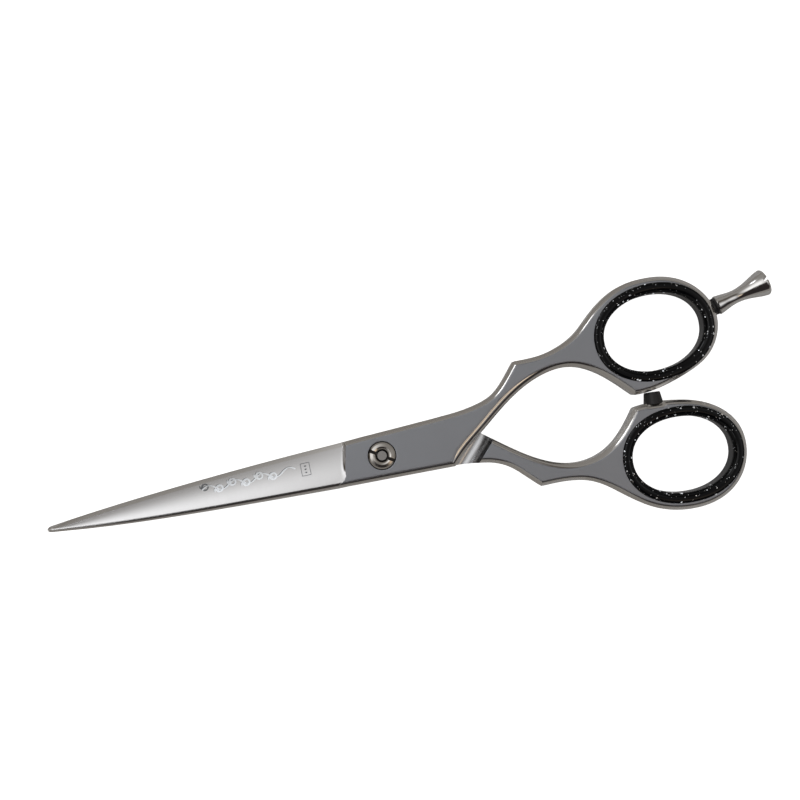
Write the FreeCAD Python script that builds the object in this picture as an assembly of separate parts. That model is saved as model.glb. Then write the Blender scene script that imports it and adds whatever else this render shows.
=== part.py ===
"""Hair cutting shears, 6.5 inch, closed.

Two forged levers cross at a pivot: a keyed bolt comes up through the thumb lever, and a slotted
tension nut holds the finger lever down on it through a wave washer. Each lever ends in a finger ring
with a black grommet. The thumb ring carries a rubber stop, and the finger ring a screwed-in finger rest.

Frame, in millimetres: the origin is where the pivot axis meets the surface that the shears lie on. +Z is
up, out of the tension nut. +X runs from the pivot to the rings, so the tips point along -X, and +Y is the
finger side.
"""

import FreeCAD
import Part

import math
import os

V = FreeCAD.Vector

# Heights. The metal is flat above and below, and the levers meet on the ride plane, half way up.
METAL_BOTTOM = 0.5
METAL_TOP = 6.0
RIDE_Z = (METAL_BOTTOM + METAL_TOP) / 2
RIDE_GAP = 0.05
RIDE_LOW = RIDE_Z + RIDE_GAP / 2
GROMMET_LIP = 0.5

# Plan of the two levers, each drawn with its ring on the +Y side: the thumb lever is turned over into
# place. Each run goes on from the one before it, with a corner between: back, ring, inside and heel.
RICASSO_X = -9.0
FINGER_BACK = [(4, 5.52), (16, 5.92), (21, 6.25), (25.2, 7.0), (28.3, 8.2), (30.6, 10.0), (34.9, 14.75)]
FINGER_RING = [
    (34.9, 14.75), (38.5, 14.65), (42, 14.85), (46, 15.8), (50.5, 17.95), (54.7, 21.5), (58.8, 24.5),
    (63.2, 26.45), (68.5, 27.05), (74, 26.35), (79, 23.9), (82.6, 19.8), (84.1, 14.4), (83, 9.9),
    (80, 6.0), (75, 3.3), (70, 1.7), (65, 0.75), (60.9, 0.7),
]
FINGER_INSIDE = [
    (60.9, 0.7), (57.1, 4.75), (52.6, 8.5), (48.5, 10.4), (44.5, 10.75), (40, 9.9), (34, 7.25),
    (28, 3.2), (23.8, 0.0), (19.8, -3.0), (16.4, -6.3),
]
FINGER_HEEL = [(16.4, -6.3), (8, -5.98)]
THUMB_BACK = [(4, 5.55), (16, 6.15), (21, 6.65), (25.2, 7.5), (28.2, 8.95), (30.4, 10.75), (34.9, 15.35)]
THUMB_RING = [
    (34.9, 15.35), (38.5, 15.35), (42, 15.6), (46, 16.5), (50.2, 18.85), (54.4, 22.3), (58.6, 25.4),
    (63.2, 27.45), (68.7, 28.38), (74, 27.95), (79, 25.7), (82.6, 21.6), (84.2, 15.6), (83.4, 11.1),
    (80.4, 6.95), (75, 3.75), (70, 2.45), (65, 1.95), (60.2, 2.2),
]
THUMB_INSIDE = [
    (60.2, 2.2), (56.7, 6.45), (52.6, 9.85), (48.5, 11.5), (44.5, 11.85), (40, 10.9), (34, 7.8),
    (28, 3.35), (23.8, 0.0), (19.8, -3.0), (16.4, -5.85),
]
THUMB_HEEL = [(16.4, -5.85), (8, -5.55)]
EDGE_CHAMFER = 0.9

# Blade: plan of the finger blade's two sides. The thumb blade lies under it, a little inside it.
BLADE_BACK = [(-80.85, 0.95), (-74, 1.66), (-66, 2.38), (-54, 3.2), (-38, 4.1), (-22, 4.72), (-9, 5.1)]
BLADE_SPINE = [
    (-80.85, -0.3), (-74, -1.16), (-66, -2.02), (-54, -3.08), (-38, -4.0), (-22, -4.88), (-9, -5.38),
]
UNDER_BLADE_INSET = 0.1
TIP_ROUND = 0.55
TIP_THICKNESS = 1.3
TIP_CHAMFER = 0.4
EDGE_LAND = (0.3, 1.1)
FACE_BULGE = (0.08, 0.3)

# The polished scoop where each shank rises from under the other lever.
SCOOP_RADIUS = 3.3
SCOOP_AT = 17.2
SCOOP_DEPTH = 0.3
SCOOP_AZIMUTH_DEG = 46.0

# Ring holes: one oval, set and turned for each ring, and the grommet that lines it.
FINGER_HOLE = (68.7, 14.15, 2.0)
THUMB_HOLE = (69.0, 15.4, 4.0)
RING_HOLE = (13.4, 10.5)
OVAL_POWER = 2.1
OVAL_POINTS = 24
LIP_OVERLAP = 0.85
GROMMET_WALL = 1.35
GROMMET_ROUND = 0.45

# Pivot stack, from below.
BOLT_HEAD_RADIUS = 3.2
BOLT_HEAD_TOP = 1.35
BOLT_HEAD_CHAMFER = 0.3
BOLT_END_CHAMFER = 0.2
BOLT_NECK_SQUARE = 4.2
JOURNAL_RADIUS = 1.9
JOURNAL_TOP = 4.45
BORE_CLEARANCE = 0.05
POCKET_CLEARANCE = 0.1
SEAT_MARGIN = 0.3
STACK_GAP = 0.01
THREAD_RADIUS = 1.3
BOLT_TOP = 5.85
NUT_POCKET_RADIUS = 3.35
NUT_POCKET_FLOOR = 4.5
WAVE_WASHER = (1.55, 3.0, 0.2)
WAVE_LIFT = 0.1
THRUST_WASHER = (1.45, 3.1, 0.2)
THRUST_Z = NUT_POCKET_FLOOR + WAVE_WASHER[2] + WAVE_LIFT + STACK_GAP
NUT_RADIUS = 3.15
NUT_BOTTOM = THRUST_Z + THRUST_WASHER[2] + STACK_GAP
NUT_TOP = 6.3
NUT_SLOT = (0.75, 0.6)
NUT_SLOT_AZIMUTH_DEG = -33.5
GLIDE_WASHER = (2.0, 3.8, 0.27)
GLIDE_FLOOR = RIDE_LOW - STACK_GAP - GLIDE_WASHER[2]

# Rubber stop between the rings.
STOP_X = 65.3
STOP_SEAT_Y = -2.4
STOP_TILT_DEG = -4.0
STOP_BASE_RADIUS = 2.35
STOP_TOP_RADIUS = 1.9
STOP_HEIGHT = 2.8
STOP_ROUND = 0.3
STOP_STEM = (1.2, 1.7)

# Finger rest, on an axis that leaves the finger ring.
REST_SEAT = (83.75, 16.65)
REST_AZIMUTH_DEG = 13.5
REST_COLLAR = (1.25, 2.05, 1.25)
REST_STUD = (1.2, 1.75)
REST_BASE_RADIUS = 2.3
REST_WAIST = (4.7, 1.62)
REST_SWELL = (8.6, 2.2)
REST_FLARE = (12.3, 3.2)
REST_TANGENTS = [(1, -0.12), (1, 0.16)]
REST_LENGTH = 13.0
REST_ROUND = 0.2
REST_DISH = 0.15
REST_SLOT = (0.8, 1.2)
REST_SLOT_TILT_DEG = -14.0


def spline(points):
    """A smooth edge through plan points."""
    curve = Part.BSplineCurve()
    curve.interpolate([V(p[0], p[1], 0) for p in points])
    return curve.toShape()


def turned(section, axis):
    """The solid that a closed section sweeps in a full turn about an axis through the origin."""
    return Part.Face(Part.makePolygon([*section, section[0]])).revolve(V(0, 0, 0), axis, 360)


def body_outline(back, ring, inside, heel, blade_sides):
    """The closed plan of a lever from the ricasso back, drawn with its ring on the +Y side."""
    back_start, heel_end = (side[-1] for side in blade_sides)
    edges = [spline(run) for run in ([back_start, *back], ring, inside, [*heel, heel_end])]
    edges.append(Part.makeLine(V(*heel_end, 0), V(*back_start, 0)))
    return Part.Wire(Part.__sortEdges__(edges))


def between(ends, share):
    """The value a share of the way between two ends."""
    return ends[0] + (ends[1] - ends[0]) * share


def blade_section(back, spine):
    """The blade's section at a station: flat below, chamfered at the spine, with a bulged ground face."""
    x = back[0]
    share = (x - BLADE_BACK[0][0]) / (RICASSO_X - BLADE_BACK[0][0])
    top = RIDE_LOW + between((TIP_THICKNESS, METAL_TOP - RIDE_LOW), share)
    land = RIDE_LOW + between(EDGE_LAND, share ** 4)
    chamfer = between((TIP_CHAMFER, EDGE_CHAMFER), share)
    crease = spine[1] + chamfer
    middle = V(x, (crease + back[1]) / 2, (top + land) / 2 + between(FACE_BULGE, share))
    face = Part.Arc(V(x, crease, top), middle, V(x, back[1], land)).toShape()
    edge, shoulder = (back[1], land), (spine[1], top - chamfer)
    corners = [edge, (back[1], RIDE_LOW), (spine[1], RIDE_LOW), shoulder, (crease, top)]
    return Part.Wire([face, *Part.makePolygon([V(x, y, z) for y, z in corners]).Edges])


def blade(sides):
    """The ground blade, from the rounded tip to the ricasso."""
    shape = Part.makeLoft([blade_section(*station) for station in zip(*sides)], True, False)
    tip_x = sides[0][0][0]
    corners = [e for e in shape.Edges if e.BoundBox.XMax < tip_x + 1e-3 and e.BoundBox.YLength < 1e-3]
    return shape.makeFillet(TIP_ROUND, corners)


def thumb_blade_sides():
    """Plan of the thumb blade's back and spine, as drawn before it is turned over."""
    back = [(x, -y - UNDER_BLADE_INSET) for x, y in BLADE_SPINE]
    spine = [(x, -y + UNDER_BLADE_INSET) for x, y in BLADE_BACK]
    return back, spine


def turned_over(shape):
    """A shape turned half a turn about the X direction, through the ride plane."""
    return shape.rotated(V(0, 0, RIDE_Z), V(1, 0, 0), 180)


def oval_wire(hole, z, grow=0.0):
    """A closed smooth oval in plan, a little squarer than an ellipse, grown evenly by a distance."""
    x0, y0, tilt = hole
    turn = FreeCAD.Rotation(V(0, 0, 1), tilt)
    points = []
    for k in range(OVAL_POINTS):
        a = math.tau * k / OVAL_POINTS
        x = math.copysign(abs(math.cos(a)) ** (2 / OVAL_POWER) * (RING_HOLE[0] + grow), math.cos(a))
        y = math.copysign(abs(math.sin(a)) ** (2 / OVAL_POWER) * (RING_HOLE[1] + grow), math.sin(a))
        points.append(V(x0, y0, z) + turn.multVec(V(x, y, 0)))
    curve = Part.BSplineCurve()
    curve.interpolate(Points=points, PeriodicFlag=True)
    return Part.Wire(curve.toShape())


def oval_prism(hole, z0, z1, grow=0.0):
    """An upright oval solid between two heights."""
    return Part.Face(oval_wire(hole, z0, grow)).extrude(V(0, 0, z1 - z0))


def ride_cutter():
    """What is taken from under a lever where it crosses the other: half its depth, and the scoop."""
    a = math.radians(SCOOP_AZIMUTH_DEG)
    along = V(math.cos(a), -math.sin(a), 0)
    start = V(math.sin(a), math.cos(a), 0) * SCOOP_AT
    reach = 140.0
    flat = Part.makeBox(2 * reach, reach, RIDE_LOW + 1, V(-reach, -reach, -1))
    flat.rotate(V(0, 0, 0), V(0, 0, 1), -SCOOP_AZIMUTH_DEG)
    flat.translate(start)
    axis_z = RIDE_Z + SCOOP_DEPTH - SCOOP_RADIUS
    scoop = Part.makeCylinder(SCOOP_RADIUS, 2 * reach, start - along * reach + V(0, 0, axis_z), along)
    return flat, scoop


def lever(back, ring, inside, heel, blade_sides, hole):
    """A lever with its ring on the +Y side, with no pivot features."""
    face = Part.Face(body_outline(back, ring, inside, heel, blade_sides))
    body = face.extrude(V(0, 0, METAL_TOP - METAL_BOTTOM))
    body.translate(V(0, 0, METAL_BOTTOM))
    rims = [e for e in body.Edges if e.BoundBox.ZLength < 1e-6 and e.BoundBox.XMax > RICASSO_X + 0.01]
    body = body.makeChamfer(EDGE_CHAMFER, rims)
    for cutter in ride_cutter():
        body = body.cut(cutter)
    body = body.cut(oval_prism(hole, METAL_BOTTOM - 1, METAL_TOP + 1))
    return body.fuse(blade(blade_sides)).removeSplitter()


def washer(inner, outer, thickness, z, lift=0.0):
    """A ring on the pivot axis, flat or with its inner edge lifted into a shallow cone."""
    under = [V(inner, 0, z + lift), V(outer, 0, z)]
    over = [V(outer, 0, z + thickness), V(inner, 0, z + thickness + lift)]
    return turned(under + over, V(0, 0, 1))


def finger_lever():
    """The upper lever, with its pivot bore, the nut's pocket, and the finger rest's seat and hole."""
    sides = (BLADE_BACK, BLADE_SPINE)
    shape = lever(FINGER_BACK, FINGER_RING, FINGER_INSIDE, FINGER_HEEL, sides, FINGER_HOLE)
    bore = Part.makeCylinder(JOURNAL_RADIUS + BORE_CLEARANCE, METAL_TOP)
    pocket = Part.makeCylinder(NUT_POCKET_RADIUS, METAL_TOP, V(0, 0, NUT_POCKET_FLOOR))
    seat, direction = rest_axis()
    spot_face = Part.makeCylinder(REST_BASE_RADIUS + SEAT_MARGIN, 4, seat, direction)
    hole = Part.makeCylinder(REST_STUD[0] + BORE_CLEARANCE, 5, seat - direction * 4, direction)
    return shape.cut(bore).cut(pocket).cut(spot_face).cut(hole)


def square_neck(grow, z0, z1):
    """The bolt's square neck, or the hole for it."""
    side = BOLT_NECK_SQUARE + 2 * grow
    return Part.makeBox(side, side, z1 - z0, V(-side / 2, -side / 2, z0))


def thumb_lever():
    """The lower lever, with the bolt's square hole and pocket, the washer's recess and the stop's seat."""
    sides = thumb_blade_sides()
    shape = turned_over(lever(THUMB_BACK, THUMB_RING, THUMB_INSIDE, THUMB_HEEL, sides, THUMB_HOLE))
    pocket = Part.makeCylinder(BOLT_HEAD_RADIUS + POCKET_CLEARANCE, BOLT_HEAD_TOP + BORE_CLEARANCE)
    recess = Part.makeCylinder(GLIDE_WASHER[1] + POCKET_CLEARANCE, METAL_TOP, V(0, 0, GLIDE_FLOOR))
    seat, direction = stop_axis()
    spot_face = Part.makeCylinder(STOP_BASE_RADIUS + POCKET_CLEARANCE, 3, seat, direction)
    stem = Part.makeCylinder(STOP_STEM[0], STOP_STEM[1] + 1, seat - direction * STOP_STEM[1], direction)
    for cutter in (square_neck(BORE_CLEARANCE, 0, METAL_TOP), pocket, recess, spot_face, stem):
        shape = shape.cut(cutter)
    return shape


def pivot_bolt():
    """Flat head below, square neck in the thumb lever, journal in the finger lever, and threaded end."""
    head = Part.makeCylinder(BOLT_HEAD_RADIUS, BOLT_HEAD_TOP)
    head = head.makeChamfer(BOLT_HEAD_CHAMFER, [e for e in head.Edges if e.BoundBox.ZMax < 1e-6])
    journal = Part.makeCylinder(JOURNAL_RADIUS, JOURNAL_TOP)
    end = Part.makeCylinder(THREAD_RADIUS, BOLT_TOP)
    end = end.makeChamfer(BOLT_END_CHAMFER, [e for e in end.Edges if e.BoundBox.ZMin > BOLT_TOP - 1e-6])
    neck = square_neck(0.0, BOLT_HEAD_TOP / 2, GLIDE_FLOOR - BORE_CLEARANCE)
    neck = neck.common(Part.makeCylinder(BOLT_HEAD_RADIUS - BOLT_END_CHAMFER, BOLT_TOP))
    return head.fuse([neck, journal, end]).removeSplitter()


def tension_nut():
    """The slotted round nut: a domed ring with a dished middle, where the bolt's end shows."""
    hole = THREAD_RADIUS + BORE_CLEARANCE
    rim = 0.35
    section = [
        (hole, NUT_BOTTOM), (NUT_RADIUS, NUT_BOTTOM), (NUT_RADIUS, NUT_TOP - rim),
        (NUT_RADIUS - rim, NUT_TOP - 0.08), (NUT_RADIUS - 1.0, NUT_TOP),
        (hole + 0.45, NUT_TOP - 0.06), (hole, NUT_TOP - 0.5),
    ]
    nut = turned([V(r, 0, z) for r, z in section], V(0, 0, 1))
    width, depth = NUT_SLOT
    slot = Part.makeBox(4 * NUT_RADIUS, width, 2, V(-2 * NUT_RADIUS, -width / 2, NUT_TOP - depth))
    slot.rotate(V(0, 0, 0), V(0, 0, 1), NUT_SLOT_AZIMUTH_DEG)
    return nut.cut(slot)


def grommet(hole):
    """The black ring liner: a sleeve through the ring with a lip over each face, all its edges rounded."""
    bottom, top = METAL_BOTTOM - GROMMET_LIP, METAL_TOP + GROMMET_LIP
    lips = [oval_prism(hole, z, z + GROMMET_LIP, LIP_OVERLAP) for z in (bottom, METAL_TOP)]
    solid = oval_prism(hole, bottom, top).fuse(lips).removeSplitter()
    solid = solid.cut(oval_prism(hole, bottom - 1, top + 1, -GROMMET_WALL))
    rims = [e for e in solid.Edges if e.BoundBox.ZMax < bottom + 1e-3 or e.BoundBox.ZMin > top - 1e-3]
    return solid.makeFillet(GROMMET_ROUND, rims)


def stop_axis():
    """Seat point and outward direction of the rubber stop."""
    a = math.radians(90 + STOP_TILT_DEG)
    return V(STOP_X, STOP_SEAT_Y, RIDE_Z), V(math.cos(a), math.sin(a), 0)


def rubber_stop():
    """A tapered plug whose stem is pushed into the thumb ring."""
    seat, direction = stop_axis()
    head = Part.makeCone(STOP_BASE_RADIUS, STOP_TOP_RADIUS, STOP_HEIGHT, seat, direction)
    end = [e for e in head.Edges if e.isClosed() and abs(e.Curve.Radius - STOP_TOP_RADIUS) < 1e-6]
    head = head.makeFillet(STOP_ROUND, end)
    radius, length = STOP_STEM
    return head.fuse(Part.makeCylinder(radius, length, seat - direction * length, direction))


def rest_axis():
    """Seat point on the finger ring and outward direction of the finger rest."""
    a = math.radians(REST_AZIMUTH_DEG)
    return V(*REST_SEAT, RIDE_Z), V(math.cos(a), math.sin(a), 0)


def on_rest_axis(shape):
    """A shape made on +X from the origin, moved to the finger rest's axis."""
    moved = shape.rotated(V(0, 0, 0), V(0, 0, 1), REST_AZIMUTH_DEG)
    moved.translate(V(*REST_SEAT, RIDE_Z))
    return moved


def rest_collar():
    """The rubber collar between the ring and the finger rest, with a groove round its middle."""
    inner, outer, width = REST_COLLAR
    groove = 0.2
    section = [
        (0, inner), (width, inner), (width, outer), (0.65 * width, outer), (0.5 * width, outer - groove),
        (0.35 * width, outer), (0, outer),
    ]
    return on_rest_axis(turned([V(x, r, 0) for x, r in section], V(1, 0, 0)))


def finger_rest():
    """The trumpet-shaped rest, turned in one piece with its stud, with a driver slot across its end."""
    collar_width = REST_COLLAR[2]
    stud_radius, stud_length = REST_STUD
    flare_x, flare_r = REST_FLARE
    foot = V(REST_ROUND, REST_BASE_RADIUS, 0)
    lip = V(flare_x, flare_r, 0)
    crown = V(REST_LENGTH, flare_r - 3 * REST_ROUND, 0)
    stud_end = -collar_width - stud_length
    flank = Part.BSplineCurve()
    flank.interpolate(
        Points=[foot, V(*REST_WAIST, 0), V(*REST_SWELL, 0), lip],
        InitialTangent=V(*REST_TANGENTS[0], 0),
        FinalTangent=V(*REST_TANGENTS[1], 0),
    )
    rim = Part.Arc(lip, V(flare_x + 0.5, flare_r - REST_ROUND, 0), crown)
    base = Part.makePolygon([
        crown, V(REST_LENGTH - REST_DISH, 0, 0), V(stud_end, 0, 0), V(stud_end, stud_radius, 0),
        V(0, stud_radius, 0), V(0, REST_BASE_RADIUS - REST_ROUND, 0), foot,
    ])
    profile = Part.Wire([flank.toShape(), rim.toShape(), *base.Edges])
    rest = Part.Face(profile).revolve(V(0, 0, 0), V(1, 0, 0), 360)
    slot_width, slot_depth = REST_SLOT
    slot = Part.makeBox(5, slot_width, 20, V(REST_LENGTH - slot_depth, -slot_width / 2, -10))
    slot.rotate(V(0, 0, 0), V(1, 0, 0), REST_SLOT_TILT_DEG)
    rest = rest.cut(slot)
    rest.translate(V(collar_width, 0, 0))
    return on_rest_axis(rest)


def save(node, shape):
    """Writes one named sub-part, after checking that it is a sound solid."""
    solid = shape.Solids[0] if len(shape.Solids) == 1 else shape
    assert solid.isValid() and solid.Volume > 0, node
    solid.exportStep(f"parts/{node}.step")
    print(f"{node:16s} solids {len(shape.Solids)} faces {len(solid.Faces):3d} volume {solid.Volume:9.2f}")


def main():
    """Makes every sub-part."""
    os.makedirs("parts", exist_ok=True)
    save("finger_lever", finger_lever())
    save("thumb_lever", thumb_lever())
    save("pivot_bolt", pivot_bolt())
    save("glide_washer", washer(*GLIDE_WASHER, GLIDE_FLOOR))
    save("wave_washer", washer(*WAVE_WASHER, NUT_POCKET_FLOOR, WAVE_LIFT))
    save("thrust_washer", washer(*THRUST_WASHER, THRUST_Z))
    save("tension_nut", tension_nut())
    save("finger_grommet", grommet(FINGER_HOLE))
    save("thumb_grommet", turned_over(grommet(THUMB_HOLE)))
    save("rubber_stop", rubber_stop())
    save("rest_collar", rest_collar())
    save("finger_rest", finger_rest())


main()
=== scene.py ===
"""Looks of the hair cutting shears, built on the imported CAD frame."""

import math
import random

import bmesh
import bpy
import numpy as np
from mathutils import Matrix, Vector, geometry
from mathutils.kdtree import KDTree


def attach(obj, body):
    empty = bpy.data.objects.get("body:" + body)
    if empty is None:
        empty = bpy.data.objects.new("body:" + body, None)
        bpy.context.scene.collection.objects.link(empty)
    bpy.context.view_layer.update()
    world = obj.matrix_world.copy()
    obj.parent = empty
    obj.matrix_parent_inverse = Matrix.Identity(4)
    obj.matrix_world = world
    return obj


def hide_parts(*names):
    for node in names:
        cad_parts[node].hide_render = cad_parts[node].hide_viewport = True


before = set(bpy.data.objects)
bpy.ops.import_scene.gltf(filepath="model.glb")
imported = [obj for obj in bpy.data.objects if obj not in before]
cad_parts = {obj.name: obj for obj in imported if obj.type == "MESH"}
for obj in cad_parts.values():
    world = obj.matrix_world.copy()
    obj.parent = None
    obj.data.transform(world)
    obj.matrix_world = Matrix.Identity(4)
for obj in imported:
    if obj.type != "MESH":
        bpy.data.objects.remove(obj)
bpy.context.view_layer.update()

MM = 0.001
FAR = 1e9
TINY = 1e-9

# Sizes shared with the CAD model, in millimetres, in the frame of a lever whose ring is on the +Y side. Pairs
# run from the tip to the ricasso, or give the radius and the floor of a pocket or recess.
TOP = 6.0
RIDE = 3.275
TURN_OVER = 6.5
RICASSO = -9.0
TIP = -80.85
TIP_TOP = 4.575
LAND = (3.575, 4.375)
SPINE_CHAMFER = (0.4, 0.9)
CHAMFER_DROP = 0.9
SCOOP_RADIUS = 3.3
SCOOP_AT = 17.2
SCOOP_AXIS_Z = 0.25
SCOOP_AZIMUTH = math.radians(46.0)
BORE = 1.95
NUT_POCKET = (3.35, 4.5)
HEAD_POCKET = (3.3, 5.1)
GLIDE_RECESS = (3.9, 3.505)
SQUARE_HOLE = 2.15
# The nut's faces lower and nearer to its axis than these are the walls and floors of its slots. They get a
# near-black steel as painted shade.
SLOT_TOP = 6.0
NUT_BODY = 3.12

# Plan outlines: the heights where the CAD levers are cut, the x where the two cuts are joined, how the
# outline and the ring's hole are stepped and smoothed, the x past which a hole is the ring's, and the y that
# parts the blade's two long sides. Those are fitted and evened out a little way from their ends.
BODY_LEVEL = 4.9
BLADE_LEVEL = 3.56
SPLIT = RICASSO + 0.1
OUTLINE_STEP, OUTLINE_BLUR = 0.3, 0.7
HOLE_STEP, HOLE_BLUR = 0.4, 1.0
HOLE_FROM = 50
BLADE_MIDDLE = 0.3
FIT_DEGREE = 4
FIT_ENDS = (1.5, 1)
EVEN_ENDS = (2.5, 0.5)
EVEN_OVER = 3

# Finish of the levers: the ground face, the bevels round the outline, and the step where the blade begins,
# along the ricasso line. The ground face's curve goes on past its crease and its edge by FACE_REACH. The
# inside of the handles has a wider, rounder bevel, which fades out over INNER_BLEND. A point of the outline is
# on the inside, or along the spine, where the +Y part of its normal is over FACES_INWARD or FACES_SPINE.
FACE_CROWN = 1.9
FACE_REACH = (-0.3, 1.2)
LEAST_FACE = 0.2
LAND_POWER = 4
CREASE_ROUND = 0.16
SPINE_ROUND = 0.26
SPINE_END = 18
FACES_INWARD = 0.1
FACES_SPINE = 0.5
BEVEL_WIDTH = 0.95
INNER_WIDTH = {"finger_lever": 1.6, "thumb_lever": 1.0}
INNER_END_WIDTH = 1.05
INNER_ROUND = 1.8
INNER_BLEND = (32.0, 45.0)
INNER_X = (17.5, 61.0)
INNER_TOP = 12.2
CARRY_BLUR = 5.0
STEP_LENGTH = 1.25
STEP_POWER = 3.2
STEP_ROUND = 0.12
STEP_BACK_SLOPE = 3
SCOOP_ROUND = 0.12
LIP_ROUND = 0.07
RICASSO_LINE = [
    (-7.6, 6.2), (-7.75, 4.2), (-8.4, 1.6), (-9.0, -0.7),
    (-9.3, -2.8), (-9.9, -3.7), (-11.2, -4.4), (-13.5, -5.6),
]

# Rows of the mesh: at shares of the bevel's width and beyond it, beside the ricasso line, across the scoop,
# round the pivot's pockets and round the ring's hole. The grid fills what is left. The margins keep rows and
# grid off the outlines, and LOST_SHARE drops the points of a row that came too near to the outline at a bend.
BEVEL_ROWS = (0.28, 0.62, 0.84, 0.94, 1.0)
BLEND_ROWS = (0.06, 0.13, 0.21, 0.33, 0.5, 0.8)
STEP_ROWS = (-0.12, -0.05, 0.0, 0.05, 0.1, 0.18, 0.28, 0.4, 0.55, 0.75, 1.0, 1.25)
SCOOP_ROWS = (
    -1.9, -1.33, -1.0, -0.6, 0.0, 0.4, 0.8, 1.2, 1.6, 2.0, 2.3, 2.6, 2.85, 3.0, 3.1, 3.18, 3.25, 3.32, 3.45,
)
POCKET_ROWS = (-0.01, 0.0, 0.03, LIP_ROUND, 0.3)
RECESS_ROWS = (-0.01, 0.0, 0.25)
HOLE_ROWS = (0.5, 1.0)
STEP_ROW_STEP = 0.3
SCOOP_ROW_STEP = 0.4
SCOOP_ROW_REACH = 30
GRID_X = (-81, 86, 0.9)
GRID_Y = (-8, 30, 0.78)
LOST_SHARE = 0.985
RING_MARGIN = 0.15
ROW_MARGIN = 0.02
HOLE_ROW_MARGIN = 0.3
GRID_MARGIN = 0.6
GRID_PAST_BLEND = 0.35
SLOPE_STEP = 0.02

# Material slots of a lever, and where they end: a share of the bevel, a distance before the ricasso line, and
# places across the scoop.
SATIN_FACE, BRIGHT_FACE, GROUND_FACE, RIDE_SIDE, SCOOP_FACE = range(5)
BRIGHT_END = 1.05
GROUND_END = -0.02
SCOOP_END = SCOOP_RADIUS * 0.985
RIDE_END = -1.3


# ---------------------------------------------------------------- plan outlines


def turned_over(co):
    """Points turned half a turn about the X direction, as the thumb lever is."""
    return co * (1, -1, -1) + (0, 0, TURN_OVER)


def section_loops(node, height, turned):
    """Closed plan outlines of a CAD node at a height, in millimetres, longest first."""
    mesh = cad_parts[node].data
    mesh.calc_loop_triangles()
    co = np.array([v.co for v in mesh.vertices]) / MM
    if turned:
        co = turned_over(co)
    co[:, 2] -= height + 1e-5  # off the vertices
    segments = []
    for tri in mesh.loop_triangles:
        corners = co[list(tri.vertices)]
        ends = []
        for a, b in zip(corners, np.roll(corners, -1, 0)):
            if (a[2] < 0) != (b[2] < 0):
                ends.append((a + (b - a) * a[2] / (a[2] - b[2]))[:2])
        if len(ends) == 2 and np.linalg.norm(ends[0] - ends[1]) > 1e-6:
            segments.append(ends)
    left = np.array(segments)
    loops = []
    while len(left):
        loop = [left[0, 0], left[0, 1]]
        left = left[1:]
        while len(left):
            gaps = np.linalg.norm(left - loop[-1], axis=2)
            i, k = np.unravel_index(gaps.argmin(), gaps.shape)
            if gaps[i, k] > min(0.02, np.linalg.norm(loop[0] - loop[-1]) + TINY):
                break
            loop.append(left[i, 1 - k])
            left = np.delete(left, i, 0)
        loops.append(np.array(loop))
    return sorted(loops, key=lambda p: -perimeter(p))


def perimeter(loop):
    """Length round a closed loop."""
    return np.linalg.norm(np.roll(loop, -1, 0) - loop, axis=1).sum()


def area(loop):
    """Signed area of a closed loop, positive when it runs anticlockwise."""
    a, b = loop, np.roll(loop, -1, 0)
    return 0.5 * (a[:, 0] * b[:, 1] - b[:, 0] * a[:, 1]).sum()


def run_of(loop, keep):
    """The one unbroken run of an anticlockwise loop where keep is true, in order."""
    if area(loop) < 0:
        loop, keep = loop[::-1], keep[::-1]
    start = np.flatnonzero(keep & ~np.roll(keep, 1))[0]
    return np.roll(loop, -start, 0)[np.roll(keep, -start)]


def resample(loop, step):
    """The loop at even steps, anticlockwise."""
    if area(loop) < 0:
        loop = loop[::-1]
    closed = np.vstack([loop, loop[:1]])
    s = lengths_along(closed)
    n = int(round(s[-1] / step))
    return at_lengths(closed, s, np.arange(n) * s[-1] / n)


def lengths_along(line):
    """Length from the start of a line to each of its points."""
    return np.concatenate([[0], np.cumsum(np.linalg.norm(np.diff(line, axis=0), axis=1))])


def at_lengths(line, s, at):
    """Points of a line at given lengths, where s is the length at each of its own points."""
    return np.stack([np.interp(at, s, line[:, k]) for k in (0, 1)], 1)


def blur(values, sigma):
    """Values along a loop, smoothed over sigma samples."""
    reach = int(3 * sigma) + 1
    offsets = np.arange(-reach, reach + 1)
    weights = np.exp(-0.5 * (offsets / sigma) ** 2)
    weights /= weights.sum()
    return sum(w * np.roll(values, k, 0) for k, w in zip(offsets, weights))


def unit_rows(v):
    """The rows of an array, each made one long."""
    return v / np.linalg.norm(v, axis=1, keepdims=True)


def left_of(t):
    """Plan directions turned a quarter turn to the left."""
    return np.stack([-t[:, 1], t[:, 0]], 1)


def normals_in(loop):
    """Unit normals that point to the inside of an anticlockwise loop."""
    return unit_rows(left_of(np.roll(loop, -1, 0) - np.roll(loop, 1, 0)))


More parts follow.
